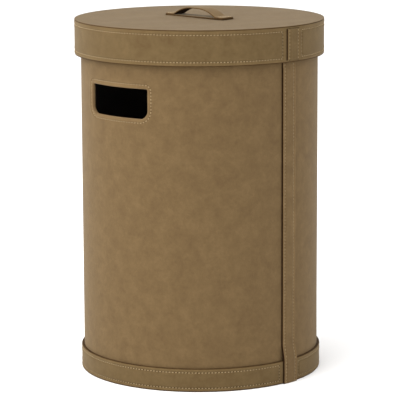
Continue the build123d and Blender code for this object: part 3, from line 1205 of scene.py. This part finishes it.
def rim_edge_ink():
    """The paint under the lid rim's leather, board and lining."""
    edge = section(RIM_INSIDE_RADIUS + CLEAR, RIM_RADIUS - 0.0003, RIM_LOW - PAINT_FILM, RIM_LOW + CLEAR, [],
                   (0.00025, 0, 0, 0.00025))
    shell = Shell()
    turned_band(shell, edge, ROUND_ANGLES, still, RIM_RADIUS, np.zeros(len(edge), int))
    shell.make("lid_rim_edge_ink", "lid", [INK])


def build_lid():
    rim = sewn_band("lid_rim_leather", "lid_rim_cover", "lid_rim_thread", "lid", (BAND_LEATHER, INK),
                    LID_STRIP_ANGLE, RIM_BOARD_RADIUS, (EDGE_ROUND, 0.0003, 0, 0), (INK_REACH, 0))
    for name, height, seed in (("upper", rim.high_row, 41), ("lower", rim.low_row, 43)):
        band_stitches(f"lid_rim_stitches_{name}", f"lid_rim_thread_{name}", "lid", rim, height,
                      RIM_INSIDE_RADIUS, seed)
    end_stitches("lid_rim_stitches_ends", "lid", rim)
    low, high = node_low("lid_seam_strip") + STRIP_END_LOW, node_high("lid_seam_strip") - STRIP_END_HIGH
    strip = ("lid", LID_STRIP_ANGLE, RIM_RADIUS, lid_strip_sheet, rim_strip_path)
    holes = strip_piece("lid_seam_strip_leather", "lid_seam_strip", *strip, low, high,
                        (BAND_LEATHER, STRIP_INK))
    strip_stitches("lid_strip_stitches", "lid_strip_threads", *strip, holes)
    # The lid's top carries painted shade: its leather is darkened for the brighter light that falls on it
    disc_sheet("lid_top_leather", "lid_top_cover", "lid", (LEATHER, INK),
               (0.0006, 0.0003), 0.00035, LID_TOP_PAINTED_SHADE)
    disc_sheet("lid_top_lining_cloth", "lid_top_lining", "lid", (FLAT_CLOTH,),
               (0.0002, 0.0003))
    cloth_band("lid_rim_lining_cloth", "lid_rim_lining", "lid", RIM_INSIDE_RADIUS, RIM_LINING_RADIUS - CLEAR,
               RIM_LOW, node_high("lid_rim_lining"), (WALL_CLOTH,))
    rim_edge_ink()
    handle_base((LEATHER, INK, BACK))
    handle_strap((LEATHER, STRAP_INK, BACK))
    handle_stitches()


def finish_boards():
    for node in ("wall_board", "base_board", "lid_board", "lid_rim_board"):
        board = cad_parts[node]
        board.data.materials.clear()
        board.data.materials.append(BOARD)


# ---- studio

CAMERA_AZIMUTH = math.radians(-46.54)
CAMERA_DISTANCE = 3.501
CAMERA_HEIGHT = 0.8822
CAMERA_PITCH = math.radians(10.207)
CAMERA_ROLL = math.radians(-0.248)
CAMERA_LENS = 211.73
SENSOR_WIDTH = 36
FLOOR_SIZE = 30
WORLD_LIGHT = 1.245

# Azimuth and elevation in degrees, distance and size in metres, power in watts
KEY_LIGHT = (-105, 44, 3.0, 3.2, 106)
FILL_LIGHT = (30, 30, 3.2, 2.5, 8)


def toward(azimuth, elevation):
    """The direction from the bin towards an azimuth, counted from -Y, and an elevation."""
    level = math.cos(elevation)
    return Vector((math.sin(azimuth) * level, -math.cos(azimuth) * level, math.sin(elevation)))


def add_camera():
    camera = bpy.data.objects.new("camera", bpy.data.cameras.new("camera"))
    bpy.context.scene.collection.objects.link(camera)
    camera.data.lens = CAMERA_LENS
    camera.data.sensor_width = SENSOR_WIDTH
    camera.location = toward(CAMERA_AZIMUTH, 0) * CAMERA_DISTANCE + Vector((0, 0, CAMERA_HEIGHT))
    turn = (-toward(CAMERA_AZIMUTH, CAMERA_PITCH)).to_track_quat("-Z", "Y").to_matrix().to_4x4()
    turn = turn @ Euler((0, 0, CAMERA_ROLL)).to_matrix().to_4x4()
    camera.rotation_euler = turn.to_euler()
    bpy.context.scene.camera = camera


def add_light(name, azimuth, elevation, distance, size, power):
    """A soft square light that faces the middle of the bin."""
    light = bpy.data.lights.new(name, "AREA")
    light.shape = "SQUARE"
    light.size = size
    light.energy = power
    lamp = bpy.data.objects.new(name, light)
    bpy.context.scene.collection.objects.link(lamp)
    away = toward(math.radians(azimuth), math.radians(elevation))
    lamp.location = Vector((0, 0, LID_HIGH / 2)) + away * distance
    lamp.rotation_euler = (-away).to_track_quat("-Z", "Y").to_euler()


def add_floor():
    bpy.ops.mesh.primitive_grid_add(x_subdivisions=8, y_subdivisions=8, size=FLOOR_SIZE)
    floor = bpy.context.active_object
    floor.name = "floor"
    floor.data.materials.append(floor_finish())


def add_studio():
    world = bpy.data.worlds.new("studio")
    bpy.context.scene.world = world
    world.use_nodes = True
    background = world.node_tree.nodes["Background"]
    background.inputs["Color"].default_value = (1, 1, 1, 1)
    background.inputs["Strength"].default_value = WORLD_LIGHT
    add_light("key", *KEY_LIGHT)
    add_light("fill", *FILL_LIGHT)
    bpy.context.scene.view_settings.view_transform = "Standard"
    add_floor()
    add_camera()


build_bin()
build_lid()
finish_boards()
add_studio()
